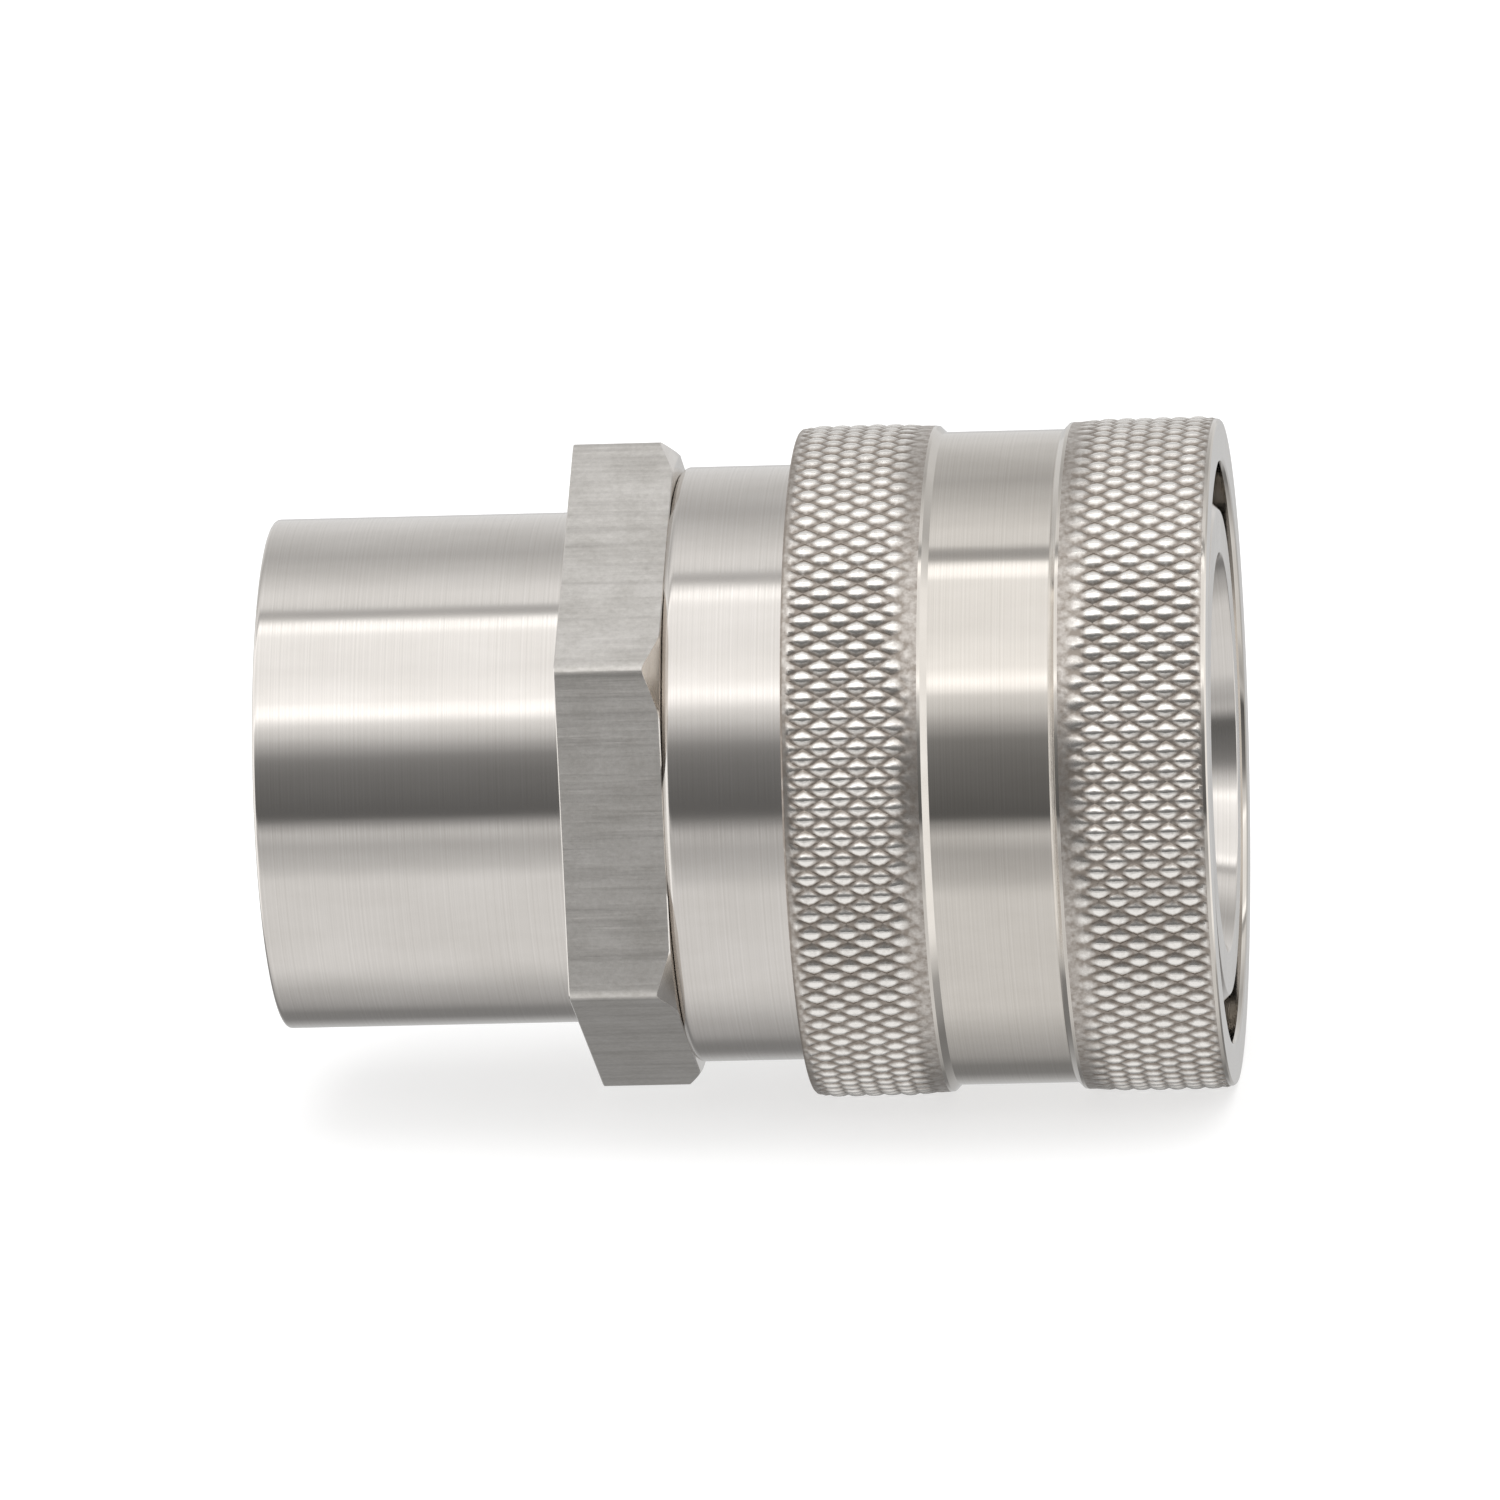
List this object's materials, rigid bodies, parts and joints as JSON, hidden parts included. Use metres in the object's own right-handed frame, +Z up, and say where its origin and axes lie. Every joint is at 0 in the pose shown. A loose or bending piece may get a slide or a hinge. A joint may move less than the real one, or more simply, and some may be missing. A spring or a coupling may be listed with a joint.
{
  "type": "quick disconnect coupler",
  "caption": "Socket half of a ball-locked quick disconnect coupler with a female pipe port, wrench hexagon, spring-loaded knurled sleeve and internal shut-off valve.",
  "frame": {"origin": "centre of the port face, on the coupler's axis", "axes": "+X along the axis from the threaded port towards the plug mouth; +Z up through a corner of the hexagon; the wrench flats nearest to Y face along Y"},
  "size_m": [0.0495, 0.035, 0.035],
  "materials": {
    "adapter_steel": "turned and milled stainless steel, fine tool marks",
    "body_steel": "fine turned stainless steel",
    "sleeve_steel": "turned stainless steel with diamond knurled grip bands",
    "ring_steel": "flat spring steel, dull",
    "spring_steel": "drawn stainless spring wire",
    "guide_steel": "turned stainless steel",
    "valve_steel": "turned stainless steel",
    "ball_steel": "polished hardened stainless balls",
    "seal_rubber": "smooth black nitrile rubber",
    "backup_plastic": "off-white fluoropolymer"
  },
  "bodies": {
    "body": {"port_adapter": "adapter_steel", "socket_body": "body_steel", "retaining_ring": "ring_steel", "backup_ring": "backup_plastic", "plug_seal": "seal_rubber", "joint_seal": "seal_rubber", "valve_guide": "guide_steel", "valve_spring": "spring_steel"},
    "spring_carrier": {"sleeve_spring": "spring_steel"},
    "sleeve": {"sleeve": "sleeve_steel"},
    "valve": {"valve_poppet": "valve_steel", "valve_seal": "seal_rubber"},
    "ball_1": {"ball_1": "ball_steel"},
    "ball_2": {"ball_2": "ball_steel"},
    "ball_3": {"ball_3": "ball_steel"},
    "ball_4": {"ball_4": "ball_steel"},
    "ball_5": {"ball_5": "ball_steel"},
    "ball_6": {"ball_6": "ball_steel"},
    "ball_7": {"ball_7": "ball_steel"},
    "ball_8": {"ball_8": "ball_steel"},
    "ball_9": {"ball_9": "ball_steel"},
    "ball_10": {"ball_10": "ball_steel"},
    "ball_11": {"ball_11": "ball_steel"},
    "ball_12": {"ball_12": "ball_steel"}
  },
  "joints": [
    {"name": "sleeve_spin", "type": "hinge", "parent": "body", "child": "spring_carrier", "pos_m": [0, 0, 0], "axis": [1, 0, 0], "continuous": true},
    {"name": "sleeve_slide", "type": "slide", "parent": "spring_carrier", "child": "sleeve", "axis": [-1, 0, 0], "range_m": [0, 0.0048], "stiffness_N_per_m": 3000, "springref_m": -0.008, "deforming": ["sleeve_spring"]},
    {"name": "valve_slide", "type": "slide", "parent": "body", "child": "valve", "axis": [-1, 0, 0], "range_m": [0, 0.004], "stiffness_N_per_m": 1500, "springref_m": -0.004, "deforming": ["valve_spring"]},
    {"name": "ball_1_lift", "type": "slide", "parent": "body", "child": "ball_1", "axis": [0, 1, 0], "range_m": [0, 0.0011]},
    {"name": "ball_2_lift", "type": "slide", "parent": "body", "child": "ball_2", "axis": [0, 0.866, 0.5], "range_m": [0, 0.0011]},
    {"name": "ball_3_lift", "type": "slide", "parent": "body", "child": "ball_3", "axis": [0, 0.5, 0.866], "range_m": [0, 0.0011]},
    {"name": "ball_4_lift", "type": "slide", "parent": "body", "child": "ball_4", "axis": [0, 0, 1], "range_m": [0, 0.0011]},
    {"name": "ball_5_lift", "type": "slide", "parent": "body", "child": "ball_5", "axis": [0, -0.5, 0.866], "range_m": [0, 0.0011]},
    {"name": "ball_6_lift", "type": "slide", "parent": "body", "child": "ball_6", "axis": [0, -0.866, 0.5], "range_m": [0, 0.0011]},
    {"name": "ball_7_lift", "type": "slide", "parent": "body", "child": "ball_7", "axis": [0, -1, 0], "range_m": [0, 0.0011]},
    {"name": "ball_8_lift", "type": "slide", "parent": "body", "child": "ball_8", "axis": [0, -0.866, -0.5], "range_m": [0, 0.0011]},
    {"name": "ball_9_lift", "type": "slide", "parent": "body", "child": "ball_9", "axis": [0, -0.5, -0.866], "range_m": [0, 0.0011]},
    {"name": "ball_10_lift", "type": "slide", "parent": "body", "child": "ball_10", "axis": [0, 0, -1], "range_m": [0, 0.0011]},
    {"name": "ball_11_lift", "type": "slide", "parent": "body", "child": "ball_11", "axis": [0, 0.5, -0.866], "range_m": [0, 0.0011]},
    {"name": "ball_12_lift", "type": "slide", "parent": "body", "child": "ball_12", "axis": [0, 0.866, -0.5], "range_m": [0, 0.0011]}
  ],
  "couplings": [
    {"joint": "ball_1_lift", "follows": "sleeve_slide", "ratio": 0.22292},
    {"joint": "ball_2_lift", "follows": "sleeve_slide", "ratio": 0.22292},
    {"joint": "ball_3_lift", "follows": "sleeve_slide", "ratio": 0.22292},
    {"joint": "ball_4_lift", "follows": "sleeve_slide", "ratio": 0.22292},
    {"joint": "ball_5_lift", "follows": "sleeve_slide", "ratio": 0.22292},
    {"joint": "ball_6_lift", "follows": "sleeve_slide", "ratio": 0.22292},
    {"joint": "ball_7_lift", "follows": "sleeve_slide", "ratio": 0.22292},
    {"joint": "ball_8_lift", "follows": "sleeve_slide", "ratio": 0.22292},
    {"joint": "ball_9_lift", "follows": "sleeve_slide", "ratio": 0.22292},
    {"joint": "ball_10_lift", "follows": "sleeve_slide", "ratio": 0.22292},
    {"joint": "ball_11_lift", "follows": "sleeve_slide", "ratio": 0.22292},
    {"joint": "ball_12_lift", "follows": "sleeve_slide", "ratio": 0.22292}
  ]
}
